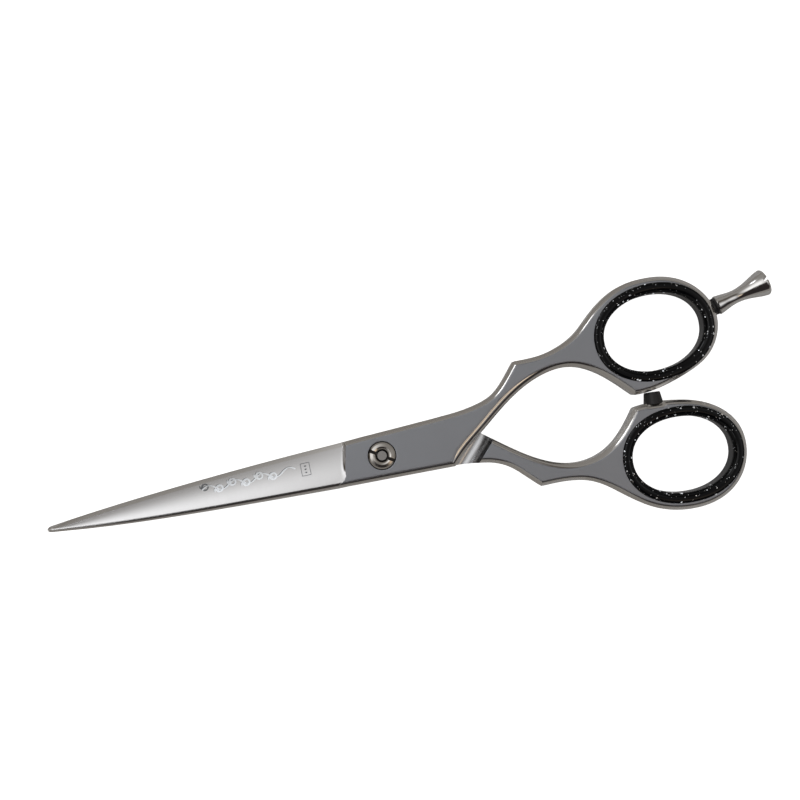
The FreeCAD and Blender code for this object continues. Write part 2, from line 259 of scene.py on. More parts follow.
class Rim:
    """A plan outline with a signed distance to it and values carried along it."""

    def __init__(self, loop):
        self.loop = loop
        self.ab = np.roll(loop, -1, 0) - loop
        self.len2 = (self.ab ** 2).sum(1)
        self.tree = KDTree(len(loop))
        for i, (x, y) in enumerate(loop):
            self.tree.insert((x, y, 0), i)
        self.tree.balance()

    def locate(self, p):
        """Signed distance inward, and where on the loop the nearest point is, for each plan point."""
        near = np.array([self.tree.find((x, y, 0))[1] for x, y in p])
        n = len(self.loop)
        best = np.full(len(p), FAR)
        where, side = np.zeros(len(p)), np.zeros(len(p))
        for shift in (-2, -1, 0, 1):
            i = (near + shift) % n
            rel = p - self.loop[i]
            t = np.clip((rel * self.ab[i]).sum(1) / self.len2[i], 0, 1)
            dist = ((rel - t[:, None] * self.ab[i]) ** 2).sum(1)
            cross = self.ab[i, 0] * rel[:, 1] - self.ab[i, 1] * rel[:, 0]
            closer = dist < best - 1e-12
            best = np.where(closer, dist, best)
            where = np.where(closer, i + t, where)
            side = np.where(closer, cross, side)
        return np.sqrt(best) * np.where(side < 0, -1, 1), where

    def carried(self, values, where):
        """Values given at the loop's points, at places that locate found."""
        i = np.floor(where).astype(int) % len(values)
        j = (i + 1) % len(values)
        f = where - np.floor(where)
        return values[i] * (1 - f) + values[j] * f


def inside(loop, p):
    """Which plan points lie inside a loop."""
    x, y = p[:, 0], p[:, 1]
    result = np.zeros(len(p), bool)
    for (x0, y0), (x1, y1) in zip(loop, np.roll(loop, -1, 0)):
        crosses = (y0 > y) != (y1 > y)
        with np.errstate(divide="ignore", invalid="ignore"):
            result ^= crosses & (x < (x1 - x0) * (y - y0) / (y1 - y0) + x0)
    return result


# ---------------------------------------------------------------- lever surfaces


def lower(a, b, k):
    """Smooth minimum, rounding the crease between two heights over k."""
    h = np.clip(0.5 + 0.5 * (b - a) / k, 0, 1)
    return b * (1 - h) + a * h - k * h * (1 - h)


def share_of(x):
    """How far along the blade x is, from 0 at the tip to 1 at the ricasso."""
    return np.clip((x - TIP) / (RICASSO - TIP), 0, 1)


def mix(ends, s):
    """The value a share of the way between two ends."""
    return ends[0] + (ends[1] - ends[0]) * s


def circle(radius, n=96):
    """Points round a circle at the origin, anticlockwise."""
    a = np.arange(n) * math.tau / n
    return np.stack([np.cos(a), np.sin(a)], 1) * radius


def square(half):
    """Points round a square at the origin, anticlockwise."""
    side = np.linspace(-half, half, 8)[:-1]
    return np.array([(t, -half) for t in side] + [(half, t) for t in side]
                    + [(-t, half) for t in side] + [(-half, -t) for t in side])


def beside(line, p):
    """Signed distance from plan points to a polyline, positive on its -X side, for a line run down in Y."""
    line = np.array(line)
    best, sign = np.full(len(p), FAR), np.ones(len(p))
    for a, b in zip(line[:-1], line[1:]):
        ab, rel = b - a, p - a
        t = np.clip((rel @ ab) / (ab @ ab), 0, 1)
        gap = np.linalg.norm(rel - t[:, None] * ab, axis=1)
        side = ab[0] * rel[:, 1] - ab[1] * rel[:, 0]
        nearer = gap < best - TINY
        sign = np.where(nearer, np.where(side < 0, 1, -1), sign)
        best = np.minimum(best, gap)
    return best * sign


def scoop_offset(p):
    """Distance of plan points from the scoop's axis, positive towards the ring."""
    return p[:, 0] * math.sin(SCOOP_AZIMUTH) + p[:, 1] * math.cos(SCOOP_AZIMUTH) - SCOOP_AT


def new_object(name, mesh):
    """A mesh as an object of the scene."""
    obj = bpy.data.objects.new(name, mesh)
    bpy.context.scene.collection.objects.link(obj)
    return obj


class Lever:
    """One lever as a pair of height fields over its plan, in the ring-on-+Y frame."""

    def __init__(self, node, turned):
        self.node, self.turned = node, turned
        self.pocket, self.pocket_floor = HEAD_POCKET if turned else NUT_POCKET
        body = section_loops(node, BODY_LEVEL, turned)
        blade = min(section_loops(node, BLADE_LEVEL, turned), key=lambda l: l[:, 0].min())
        outer = np.vstack([run_of(body[0], body[0][:, 0] > SPLIT), run_of(blade, blade[:, 0] <= SPLIT)])
        outer = blur(resample(outer, OUTLINE_STEP), OUTLINE_BLUR)
        self.fit_blade(outer)
        self.rim = Rim(outer)
        hole = [l for l in body[1:] if l[:, 0].mean() > HOLE_FROM][0]
        self.hole = blur(resample(hole, HOLE_STEP), HOLE_BLUR)

        # Values carried along the outline: the bevel's width and roundness, its crease, and its two edges.
        x, y = outer.T
        n = normals_in(outer)
        share = share_of(x)
        spine_side = (x < RICASSO) & (y < 0.0)
        inner = (x > INNER_X[0]) & (x < INNER_X[1]) & (y < INNER_TOP) & (n[:, 1] > FACES_INWARD)
        chamfer = mix(SPINE_CHAMFER, share)
        inner_width = np.interp(x, INNER_BLEND, (INNER_WIDTH[node], INNER_END_WIDTH))
        width = np.where(spine_side, chamfer, np.where(inner, inner_width, BEVEL_WIDTH))
        roundness = np.where(inner, np.interp(x, INNER_BLEND, (INNER_ROUND, 1.0)), 1.0)
        crease = np.where((n[:, 1] > FACES_SPINE) & (x < SPINE_END), SPINE_ROUND, CREASE_ROUND) * 2
        self.width, self.round, self.crease = (blur(v, CARRY_BLUR) for v in (width, roundness, crease))
        top = mix((TIP_TOP, TOP), share)
        self.top_z = np.where(spine_side, top, TOP)
        self.rim_z = np.where(spine_side, top - chamfer, TOP - CHAMFER_DROP)

    def fit_blade(self, outer):
        """Evens out the blade's long sides, and keeps them as polynomials in x."""
        x, y = outer.T
        self.sides = []
        for side in (y > BLADE_MIDDLE, y < BLADE_MIDDLE):
            long = side & (x > TIP + FIT_ENDS[0]) & (x < RICASSO - FIT_ENDS[1])
            fit = np.polyfit(x[long], y[long], FIT_DEGREE)
            from_tip = np.clip((x - TIP - EVEN_ENDS[0]) / EVEN_OVER, 0, 1)
            from_ricasso = np.clip((RICASSO - EVEN_ENDS[1] - x) / EVEN_OVER, 0, 1)
            outer[:, 1] += from_tip * from_ricasso * side * (np.polyval(fit, x) - y)
            self.sides.append(fit)

    def back(self, x):
        """The y of the blade's cutting edge."""
        return np.polyval(self.sides[0], x)

    def spine(self, x):
        """The y of the crease along the blade's spine."""
        return np.polyval(self.sides[1], x) + mix(SPINE_CHAMFER, share_of(x))

    def ground_face(self, p):
        """Height of the blade's ground face, which falls from the crease to the cutting edge."""
        x, y = p[:, 0], p[:, 1]
        s = share_of(x)
        back, crease = self.back(x), self.spine(x)
        u = np.clip((y - crease) / np.maximum(back - crease, LEAST_FACE), *FACE_REACH)
        top = mix((TIP_TOP, TOP), s)
        land = mix(LAND, s ** LAND_POWER)
        return top - (top - land) * np.sign(u) * np.abs(u) ** FACE_CROWN * (u > 0)

    def bevel(self, part, where):
        """Share of the bevel's height at a share of its width: straight, or rounded where round is over 1."""
        power = self.rim.carried(self.round, where)
        return np.where(part < 1, 1 - np.clip(1 - part, 0, 2) ** power, part)

    def outer_height(self, p):
        """The face away from the other lever."""
        d, where = self.rim.locate(p)
        q = beside(RICASSO_LINE, p)
        ground = self.ground_face(p)
        fade = np.clip(1 - q / STEP_LENGTH, 0, 1) ** STEP_POWER
        step = ground + (TOP - ground) * fade
        face = lower(np.full(len(p), TOP), np.where(q > 0, step, TOP - STEP_BACK_SLOPE * q), STEP_ROUND)
        width, rim_z, top_z, crease = (self.rim.carried(values, where)
                                       for values in (self.width, self.rim_z, self.top_z, self.crease))
        z = lower(face, rim_z + (top_z - rim_z) * self.bevel(d / width, where), crease)
        r = np.hypot(p[:, 0], p[:, 1])
        lip = np.clip((self.pocket + LIP_ROUND - r) / LIP_ROUND, 0, 1)
        z = np.where(r < self.pocket + LIP_ROUND, TOP - LIP_ROUND * lip ** 2, z)
        return np.where(r < self.pocket - 1e-4, self.pocket_floor, z)

    def inner_height(self, p):
        """The face towards the other lever: the ride side, the scoop, and the shank beyond it."""
        d, where = self.rim.locate(p)
        s = scoop_offset(p)
        width = self.rim.carried(self.width, where)
        low = TURN_OVER - TOP
        bevel = low + CHAMFER_DROP * (1 - self.bevel(d / width, where))
        shank = -lower(np.full(len(p), -low), -bevel, CREASE_ROUND * 2)
        arch = SCOOP_AXIS_Z + np.sqrt(np.maximum(SCOOP_RADIUS ** 2 - s ** 2, 0))
        arch = np.where(np.abs(s) < SCOOP_RADIUS, arch, -1.0)
        rise = -lower(-shank, -arch, SCOOP_ROUND)
        z = np.where(s > 0, np.maximum(rise, low), np.maximum(arch, RIDE))
        if self.turned:
            radius, floor = GLIDE_RECESS
            z = np.where(np.hypot(p[:, 0], p[:, 1]) < radius, floor, z)
        return z

    def guide_lines(self):
        """Plan lines that the mesh follows, each with the points to keep, or None for an open line."""
        loop = self.rim.loop
        n = normals_in(loop)
        lines = []
        offsets = [self.width * part for part in BEVEL_ROWS] + [self.width + extra for extra in BLEND_ROWS]
        for offset in offsets:
            row = loop + n * offset[:, None]
            d, _ = self.rim.locate(row)
            lines.append((row, d > offset * LOST_SHARE - 1e-6))
        ricasso = np.array(RICASSO_LINE)
        s = lengths_along(ricasso)
        line = at_lengths(ricasso, s, np.arange(0, s[-1], STEP_ROW_STEP))
        line[1:-1] = (line[:-2] + line[1:-1] * 2 + line[2:]) / 4
        side = -unit_rows(left_of(np.gradient(line, axis=0)))
        lines += [(line + side * q, None) for q in STEP_ROWS]
        along = np.array([math.cos(SCOOP_AZIMUTH), -math.sin(SCOOP_AZIMUTH)])
        across = np.array([math.sin(SCOOP_AZIMUTH), math.cos(SCOOP_AZIMUTH)])
        at = np.arange(-SCOOP_ROW_REACH, SCOOP_ROW_REACH, SCOOP_ROW_STEP)
        lines += [(across * (SCOOP_AT + s) + along * at[:, None], None) for s in SCOOP_ROWS]
        return lines

    def plan_mesh(self):
        """Plan points and triangles."""
        loop, hole = self.rim.loop, self.hole
        holes = [hole, square(SQUARE_HOLE) if self.turned else circle(BORE, 64)]
        verts, edges = [], []

        def add(points, closed, keep=None):
            """Adds the kept points of a line, and the edges between neighbours that are both kept."""
            start = len(verts)
            index = {}
            for k, p in enumerate(points):
                if keep is None or keep[k]:
                    index[k] = start + len(index)
                    verts.append(Vector((p[0], p[1])))
            n = len(points)
            for k in range(n if closed else n - 1):
                if k in index and (k + 1) % n in index:
                    edges.append((index[k], index[(k + 1) % n]))

        for outline in (loop, *holes):
            add(outline, True)
        rings = [self.pocket + extra for extra in POCKET_ROWS]
        if self.turned:
            rings += [GLIDE_RECESS[0] + extra for extra in RECESS_ROWS]
        for r in rings:
            add(circle(r), True)
        clear = max(rings) + RING_MARGIN
        hole_rim = Rim(hole)

        def free(p, margin):
            """Which points are a margin inside the lever and clear of the rings round the pivot."""
            d, _ = self.rim.locate(p)
            h, _ = hole_rim.locate(p)
            return (d > margin) & (h < -margin) & (np.hypot(p[:, 0], p[:, 1]) > clear)

        for row, keep in self.guide_lines():
            ok = free(row, ROW_MARGIN)
            closed = keep is not None
            add(row, closed, ok & keep if closed else ok)
        hole_n = normals_in(hole)
        for offset in HOLE_ROWS:
            row = hole - hole_n * offset
            add(row, True, free(row, HOLE_ROW_MARGIN))
        gx, gy = np.meshgrid(np.arange(*GRID_X), np.arange(*GRID_Y))
        gx = gx + GRID_X[2] / 2 * (np.arange(gx.shape[0])[:, None] % 2)
        grid = np.stack([gx.ravel(), gy.ravel()], 1)
        d, where = self.rim.locate(grid)
        past_blend = self.rim.carried(self.width, where) + BLEND_ROWS[-1] + GRID_PAST_BLEND
        keep = free(grid, GRID_MARGIN) & (d > past_blend)
        verts += [Vector((x, y)) for x, y in grid[keep]]
        points, _, tris = geometry.delaunay_2d_cdt(verts, edges, [], 0, 1e-5, False)[:3]
        points = np.array([(v.x, v.y) for v in points])
        tris = np.array([f for f in tris])
        mid = points[tris].mean(1)
        ok = inside(loop, mid)
        for outline in holes:
            ok &= ~inside(outline, mid)
        used, tris = np.unique(tris[ok], return_inverse=True)
        return points[used], tris.reshape(-1, 3)

    def build(self):
        """The lever's mesh: both faces over one plan, joined by walls."""
        p, tris = self.plan_mesh()
        n = len(p)
        co = np.vstack([np.column_stack([p, height(p)]) for height in (self.outer_height, self.inner_height)])
        normal = np.vstack([self.slope(self.outer_height, p), -self.slope(self.inner_height, p)])
        a, b, c = tris.T
        turn = (p[b, 0] - p[a, 0]) * (p[c, 1] - p[a, 1]) - (p[b, 1] - p[a, 1]) * (p[c, 0] - p[a, 0])
        tris = np.where(turn[:, None] > 0, tris, tris[:, ::-1])
        faces = [tuple(t) for t in tris] + [tuple(t[::-1] + n) for t in tris]
        mid = p[tris].mean(1)
        kinds = [*self.kinds(mid, True), *self.kinds(mid, False)]
        loop_normals = [normal[v] for f in faces for v in f]
        rim, outward = self.wall_normals(p, tris)
        for i, j in rim:
            faces.append((j, i, i + n, j + n))
            kinds.append(BRIGHT_FACE)
            loop_normals += [outward[v] for v in (j, i, i, j)]
        if self.turned:
            co = turned_over(co)
            loop_normals = [m * (1, -1, -1) for m in loop_normals]
        mesh = bpy.data.meshes.new(self.node + "_finished")
        mesh.from_pydata((co * MM).tolist(), [], faces)
        mesh.polygons.foreach_set("material_index", np.array(kinds, np.int32))
        mesh.polygons.foreach_set("use_smooth", np.ones(len(faces), bool))
        mesh.normals_split_custom_set([Vector(m).normalized() for m in loop_normals])
        mesh.update()
        return new_object(self.node + "_finished", mesh)

    def slope(self, height, p):
        """Upward unit normals of a height field."""
        e = SLOPE_STEP
        gx = (height(p + (e, 0)) - height(p - (e, 0))) / (2 * e)
        gy = (height(p + (0, e)) - height(p - (0, e))) / (2 * e)
        return unit_rows(np.stack([-gx, -gy, np.ones(len(p))], 1))

    def wall_normals(self, p, tris):
        """Boundary edges of the plan, and the outward normal at each boundary point."""
        half = dict.fromkeys((t[k], t[(k + 1) % 3]) for t in tris for k in range(3))
        rim = [(i, j) for i, j in half if (j, i) not in half]
        at = {}
        for i, j in rim:
            t = p[j] - p[i]
            m = np.array([t[1], -t[0], 0.0]) / max(np.linalg.norm(t), TINY)
            for v in (i, j):
                at[v] = at.get(v, 0) + m
        return rim, {v: m / max(np.linalg.norm(m), TINY) for v, m in at.items()}

    def kinds(self, mid, outer):
        """Material slot of each face, from its middle."""
        d, where = self.rim.locate(mid)
        kind = np.where(d < self.rim.carried(self.width, where) * BRIGHT_END, BRIGHT_FACE, SATIN_FACE)
        if outer:
            q = beside(RICASSO_LINE, mid)
            kind = np.where((q > GROUND_END) & (kind == SATIN_FACE), GROUND_FACE, kind)
            return np.where(np.hypot(mid[:, 0], mid[:, 1]) < self.pocket, BRIGHT_FACE, kind)
        s = scoop_offset(mid)
        kind = np.where(s < SCOOP_END, SCOOP_FACE, kind)
        return np.where(s < RIDE_END, RIDE_SIDE, kind)


# ---------------------------------------------------------------- materials


def material(name):
    """A new node material, its tree and its shader."""
    mat = bpy.data.materials.new(name)
    mat.use_nodes = True
    tree = mat.node_tree
    return mat, tree, tree.nodes["Principled BSDF"]


def noise(tree, scale, detail=4.0, stretch=(1, 1, 1), rough=0.55):
    """Noise over object space, with a scale in cycles a metre."""
    coord = tree.nodes.new("ShaderNodeTexCoord")
    mapping = tree.nodes.new("ShaderNodeMapping")
    mapping.inputs["Scale"].default_value = stretch
    tex = tree.nodes.new("ShaderNodeTexNoise")
    tex.inputs["Scale"].default_value = scale
    tex.inputs["Detail"].default_value = detail
    tex.inputs["Roughness"].default_value = rough
    tree.links.new(coord.outputs["Object"], mapping.inputs["Vector"])
    tree.links.new(mapping.outputs["Vector"], tex.inputs["Vector"])
    return tex.outputs["Fac"]


def ramp(tree, fac, low, high, socket):
    """Feeds a socket with a colour that runs from low to high over the middle of a factor's range."""
    node = tree.nodes.new("ShaderNodeValToRGB")
    for element, at, colour in zip(node.color_ramp.elements, (0.3, 0.7), (low, high)):
        element.position = at
        element.color = (*colour, 1)
    tree.links.new(fac, node.inputs["Fac"])
    tree.links.new(node.outputs["Color"], socket)


def grey(v):
    """A grey of one value."""
    return (v, v, v)


def uneven(tree, shader, rough, rough_vary, fine):
    """Roughness that varies with a fine noise."""
    ramp(tree, fine, grey(rough - rough_vary), grey(rough + rough_vary), shader.inputs["Roughness"])


def bump(tree, shader, fac, strength, distance):
    """Raises the surface by a factor, up to a distance in metres."""
    node = tree.nodes.new("ShaderNodeBump")
    node.inputs["Strength"].default_value = strength
    node.inputs["Distance"].default_value = distance
    tree.links.new(fac, node.inputs["Height"])
    tree.links.new(node.outputs["Normal"], shader.inputs["Normal"])


def steel(name, colour, vary, rough, rough_vary, grain, stretch=(1, 1, 1), depth=0.0):
    """Bare steel with a slightly uneven tone and finish."""
    mat, tree, shader = material(name)
    shader.inputs["Metallic"].default_value = 1.0
    fine = noise(tree, grain, 6.0, stretch, 0.65)
    dark = tuple(c * (1 - vary) for c in colour)
    light = tuple(min(1, c * (1 + vary)) for c in colour)
    ramp(tree, noise(tree, 90.0, 3.0), dark, light, shader.inputs["Base Color"])
    uneven(tree, shader, rough, rough_vary, fine)
    if depth:
        bump(tree, shader, fine, 0.6, depth)
    return mat


def plastic(name, colour, rough, rough_vary, grain, depth, ior=1.5):
    """Moulded plastic or rubber."""
    mat, tree, shader = material(name)
    shader.inputs["IOR"].default_value = ior
    fine = noise(tree, grain, 5.0)
    dark, light = (tuple(c * k for c in colour) for k in (0.8, 1.2))
    ramp(tree, fine, dark, light, shader.inputs["Base Color"])
    uneven(tree, shader, rough, rough_vary, fine)
    bump(tree, shader, fine, 0.5, depth)
    return mat


SATIN = steel("satin_steel", (0.34, 0.356, 0.386), 0.012, 0.40, 0.03, 9000.0, depth=0.000004)
BRIGHT = steel("bright_edge_steel", (0.63, 0.62, 0.60), 0.015, 0.13, 0.02, 5000.0)
GROUND = steel("ground_steel", (0.665, 0.665, 0.67), 0.012, 0.2, 0.02, 3000.0, (1, 0.12, 1))
SCOOP = steel("scoop_steel", (0.5, 0.505, 0.515), 0.012, 0.24, 0.004, 1500.0)
RIDE_FACE = steel("hollow_ground_steel", (0.62, 0.62, 0.62), 0.02, 0.16, 0.04, 3000.0, (1, 0.12, 1))
DARK_STEEL = steel("dark_bolt_steel", (0.33, 0.32, 0.31), 0.03, 0.22, 0.04, 2500.0)
NUT_STEEL = steel("nut_steel", (0.52, 0.5, 0.47), 0.02, 0.13, 0.03, 2500.0)
# Near-black steel for the nut's slot walls and floors: painted shade in the slots.
SLOT_SHADE_STEEL = steel("painted_slot_shade_steel", (0.035, 0.032, 0.03), 0.02, 0.4, 0.05, 3000.0)
POLISHED = steel("polished_steel", (0.66, 0.655, 0.64), 0.02, 0.1, 0.03, 2500.0)
SPRING = steel("spring_steel", (0.5, 0.49, 0.47), 0.03, 0.25, 0.05, 2500.0)
# A dark steel for the painted shadows beside the scroll's strokes, and for the frame's dark lines and dots.
SHADE = steel("painted_shadow_and_line_steel", (0.2, 0.21, 0.22), 0.05, 0.3, 0.05, 6000.0)
GLITTER = steel("glitter", (0.9, 0.94, 1.0), 0.03, 0.22, 0.05, 4000.0)
GROMMET = plastic("black_grommet", (0.002, 0.0025, 0.0035), 0.1, 0.02, 1500.0, 0.000002, 1.3)
RUBBER = plastic("black_rubber", (0.012, 0.012, 0.013), 0.42, 0.06, 4000.0, 0.00001)
NYLON = plastic("nylon", (0.7, 0.69, 0.65), 0.4, 0.05, 3000.0, 0.000005)

LEVER_MATERIALS = (SATIN, BRIGHT, GROUND, RIDE_FACE, SCOOP)
FINISH = {
    "pivot_bolt": DARK_STEEL, "tension_nut": NUT_STEEL, "finger_rest": POLISHED, "wave_washer": SPRING,
    "thrust_washer": SPRING, "glide_washer": NYLON, "rubber_stop": RUBBER, "rest_collar": RUBBER,
}


# ---------------------------------------------------------------- pieces


def add_lever(lever, body):
    """Puts the finished lever in place of its CAD node."""
    obj = lever.build()
    for mat in LEVER_MATERIALS:
        obj.data.materials.append(mat)
    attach(obj, body)
    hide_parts(lever.node)


def new_piece(name, verts, faces, mats, body, smooth=True):
    """A mesh piece on a body, from points in millimetres."""
    mesh = bpy.data.meshes.new(name)
    mesh.from_pydata([tuple(v * MM) for v in verts], [], faces)
    for mat in mats:
        mesh.materials.append(mat)
    mesh.polygons.foreach_set("use_smooth", np.full(len(faces), smooth))
    mesh.update()
    obj = new_object(name, mesh)
    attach(obj, body)
    return obj


# A grommet's section: offsets from the ring's hole, negative into the opening, and the depths of its two
# roundings.
GROMMET_BORE, GROMMET_SHOULDER, GROMMET_CROWN, GROMMET_EDGE = -1.55, -0.3, 0.2, 0.92
SHOULDER_DEPTH, SHOULDER_STEPS = 1.3, 12
EDGE_DEPTH, EDGE_STEPS = 0.42, 9
BORE_END = TURN_OVER - 2.0
GROMMET_STEP = 0.3

# Flakes in a grommet: how many, the radii of the plain ones and of the ones tipped to the light, how often a
# flake is on the far lip or tipped, how far it lies under and over the surface, and how much it leans.
FLAKES = 330
FLAKE_SIDES = 6
PLAIN_SIZES = (0.05, 0.06, 0.08, 0.1)
TIPPED_SIZES = (0.18, 0.22, 0.27)
FAR_LIP_EVERY = 3
TIPPED_EVERY = 9
TIPPED_X = (-0.2, -0.05)
TIPPED_Y = (0.0, 0.1)
TIPPED_UP = 0.05
FLAKE_HEIGHTS = (-0.05, 0.02)
FLAKE_LEAN = 0.05


def grommet_profile():
    """A grommet's section from the middle of its bore over the upper lip, as (offset from the hole, z)."""
    top = TURN_OVER
    points = [(GROMMET_BORE, top / 2), (GROMMET_BORE, BORE_END)]
    for a in np.linspace(0, math.pi / 2, SHOULDER_STEPS):
        points.append((GROMMET_SHOULDER + (GROMMET_BORE - GROMMET_SHOULDER) * math.cos(a),
                       top - SHOULDER_DEPTH + SHOULDER_DEPTH * math.sin(a)))
    for a in np.linspace(math.pi / 2, 0, EDGE_STEPS):
        points.append((GROMMET_CROWN + (GROMMET_EDGE - GROMMET_CROWN) * math.cos(a),
                       top - EDGE_DEPTH + EDGE_DEPTH * math.sin(a)))
    points.append((GROMMET_EDGE, TOP))
    return np.array(points)


def add_grommet(lever, body, seed):
    """The black ring liner, with bright flakes set in its surface."""
    half = grommet_profile()
    mirror = half[::-1] * (1, -1) + (0, TURN_OVER)
    profile = np.vstack([half, mirror[:-1]])
    loop = resample(lever.hole, GROMMET_STEP)
    normal = normals_in(loop)
    n, m = len(loop), len(profile)
    plan = loop[:, None] - normal[:, None] * profile[None, :, :1]
    z = np.broadcast_to(profile[:, 1], (n, m))
    verts = np.concatenate([plan, z[..., None]], 2).reshape(-1, 3)
    if lever.turned:
        verts = turned_over(verts)
    faces = [(i * m + k, i * m + (k + 1) % m, (i + 1) % n * m + (k + 1) % m, (i + 1) % n * m + k)
             for i in range(n) for k in range(m)]
    name = lever.node.replace("lever", "grommet")
    obj = new_piece(name + "_finished", verts, faces, [GROMMET], body)
    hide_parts(name)
    add_glitter(lever, body, seed, loop, normal, half)


def add_glitter(lever, body, seed, loop, normal, half):
    """Small bright flakes set in a grommet's surface, some of them tipped to catch the light."""
    rng = random.Random(seed)
    slope = unit_rows(np.gradient(half, axis=0))
    verts, faces = [], []
    for i in range(FLAKES):
        k, q = rng.randrange(len(loop)), rng.randrange(3, len(half) - 4)
        offset, z = half[q] + (half[q + 1] - half[q]) * rng.random()
        out = -normal[k]
        p = Vector((*(loop[k] + out * offset), z))
        up = Vector((*(out * -slope[q][1]), slope[q][0])).normalized()
        if (i % FAR_LIP_EVERY == 0) != lever.turned:
            p.z, up.z = TURN_OVER - p.z, -up.z
        if lever.turned:
            p, up = Vector((p.x, -p.y, TURN_OVER - p.z)), Vector((up.x, -up.y, -up.z))
        size = rng.choice(PLAIN_SIZES)
        if i % TIPPED_EVERY == 1:
            up = Vector((rng.uniform(*TIPPED_X), rng.uniform(*TIPPED_Y), 1.0)) + up * TIPPED_UP
            size = rng.choice(TIPPED_SIZES)
        up = (up.normalized() + Vector([rng.gauss(0, FLAKE_LEAN) for _ in range(3)])).normalized()
        u = up.orthogonal().normalized()
        v = up.cross(u)
        turn = rng.uniform(0, math.tau)
        base = len(verts)
        for lift in FLAKE_HEIGHTS:
            for s in range(FLAKE_SIDES):
                a = turn + s * math.tau / FLAKE_SIDES
                corner = p + (u * math.cos(a) + v * math.sin(a)) * size + up * lift
                corner.z = min(max(corner.z, 0.0), TURN_OVER)
                verts.append(corner)
        low = [base + s for s in range(FLAKE_SIDES)]
        high = [c + FLAKE_SIDES for c in low]
        faces += [high, low[::-1]]
        faces += zip(low, low[1:] + low[:1], high[1:] + high[:1], high)
    new_piece(lever.node.replace("lever", "glitter"), verts, faces, [GLITTER], body, False)


# The scroll on the finger blade: its ends in x, the length of one wave, the height of its middle, its swing
# and its least and added width. A curl starts just after each crossing of the middle, with leaves round its
# root, each given by its angle and length.
SCROLL = (-43.2, -20.6)
SCROLL_PITCH = 6.5
SCROLL_Y = 1.35
SCROLL_SWING = 0.75
STEM_WIDTH = (0.14, 0.2)
ROOT_SHIFT = 0.1
CURL_ANGLE, CURL_LENGTH, CURL_BEND, CURL_POWER = 1.0, 5.6, 7.5, 1.2
CURL_WIDTHS = (0.2, 0.46, 0.16)
LEAVES = ((-2.3, 1.2), (-1.5, 1.5), (-0.8, 1.3))
LEAF_BEND, LEAF_POWER = 0.9, 1.5
LEAF_WIDTHS = (0.1, 0.5, 0.06)
# Each line is a bright ribbon with a dark one under it, set off to the upper left as its painted shadow. Lifts
# are over the ground face, and each ribbon has its root a little under it.
LIT_LIFT = 0.016
SHADE_LIFT = 0.01
SHADE_SHIFT = (-0.14, 0.17)
SHADE_WIDTH, DARK_WIDTH = 0.55, 0.8
FRAME_LIFT = 0.012
RIBBON_ROOT = 0.02
# Material slots of the ornament: the bright ribbons, and the dark ones for the painted shadows and the frame's
# lines.
LIT, SHADED = 0, 1
# The plain frame beside the scroll, and the three dots in it.
FRAME = [(-19.3, -0.6), (-17.2, -0.6), (-17.2, 2.3), (-19.3, 2.3)]
FRAME_LINE = 0.14
DOTS_X = (-18.6, -18.25, -17.9)
DOTS_Y = (0.1, 0.85, 1.6)
DOT_WIDTHS = (0.04, 0.4, 0.04)


def add_ornament(lever, body):
    """A leaf scroll of ribbons on the ground face, with painted shadows that give it a cut look, and a plain
    frame beside it.
    """
    verts, faces, kinds = [], [], []

    def strip(points, widths, kind, lift=FRAME_LIFT):
        """A ribbon along plan points, a little proud of the ground face."""
        points = np.array(points, float)
        reach = unit_rows(left_of(np.gradient(points, axis=0))) * np.array(widths)[:, None] / 2
        plan = np.vstack([points + reach, points - reach])
        z = lever.ground_face(plan)
        base, m = len(verts), len(points)
        verts.extend(np.column_stack([plan, z + lift]))
        verts.extend(np.column_stack([plan, z - RIBBON_ROOT]))
        low = 2 * m
        for l0 in range(base, base + m - 1):
            l1, r0, r1 = l0 + 1, l0 + m, l0 + m + 1
            faces.append((r0, r1, l1, l0))
            faces.append((l0 + low, l1 + low, r1 + low, r0 + low))
            faces.append((l0, l1, l1 + low, l0 + low))
            faces.append((r1, r0, r0 + low, r1 + low))
            kinds.extend([kind] * 4)

    def stroke(points, widths, dark):
        """A stroke: a bright ribbon with a thin painted shadow on its upper left, or the dark ribbon alone."""
        points, widths = np.array(points), np.array(widths)
        # The dark ribbon set off to the upper left is painted shadow.
        strip(points + SHADE_SHIFT, widths * (DARK_WIDTH if dark else SHADE_WIDTH), SHADED, SHADE_LIFT)
        if not dark:
            strip(points, widths, LIT, LIT_LIFT)

    def curl(root, angle, length, bend, power, widths, dark):
        """A stroke that starts at root and bends more and more."""
        t = np.linspace(0, 1, 30)
        a = angle + bend * t ** power
        xy = np.cumsum(np.stack([np.cos(a), np.sin(a)], 1), 0) * length / len(t)
        stroke(np.array(root) + xy - xy[0], np.interp(t, (0, 0.4, 1), widths), dark)

    x = np.linspace(*SCROLL, 120)
    wave = (x - SCROLL[0]) / SCROLL_PITCH * math.tau
    y = SCROLL_Y + SCROLL_SWING * np.sin(wave)
    stroke(np.stack([x, y], 1), STEM_WIDTH[0] + STEM_WIDTH[1] * np.abs(np.cos(wave)), False)
    for i in range(int((SCROLL[1] - SCROLL[0]) * 2 / SCROLL_PITCH)):
        up, dark = (1 if i % 2 else -1), i == 0
        at = SCROLL[0] + i * SCROLL_PITCH / 2 + ROOT_SHIFT
        root = (at, float(np.interp(at, x, y)))
        curl(root, up * CURL_ANGLE, CURL_LENGTH, -up * CURL_BEND, CURL_POWER, CURL_WIDTHS, dark)
        for angle, length in LEAVES:
            curl(root, up * angle, length, up * LEAF_BEND, LEAF_POWER, LEAF_WIDTHS, dark)
    corners = np.array(FRAME)
    for a, b in zip(corners, np.roll(corners, -1, 0)):
        strip(np.linspace(a, b, 8), np.full(8, FRAME_LINE), SHADED)
    for at in DOTS_Y:
        strip([(x, at) for x in DOTS_X], DOT_WIDTHS, SHADED)
    obj = new_piece("blade_ornament", verts, faces, [GLITTER, SHADE], body, False)
    obj.data.polygons.foreach_set("material_index", np.array(kinds, np.int32))


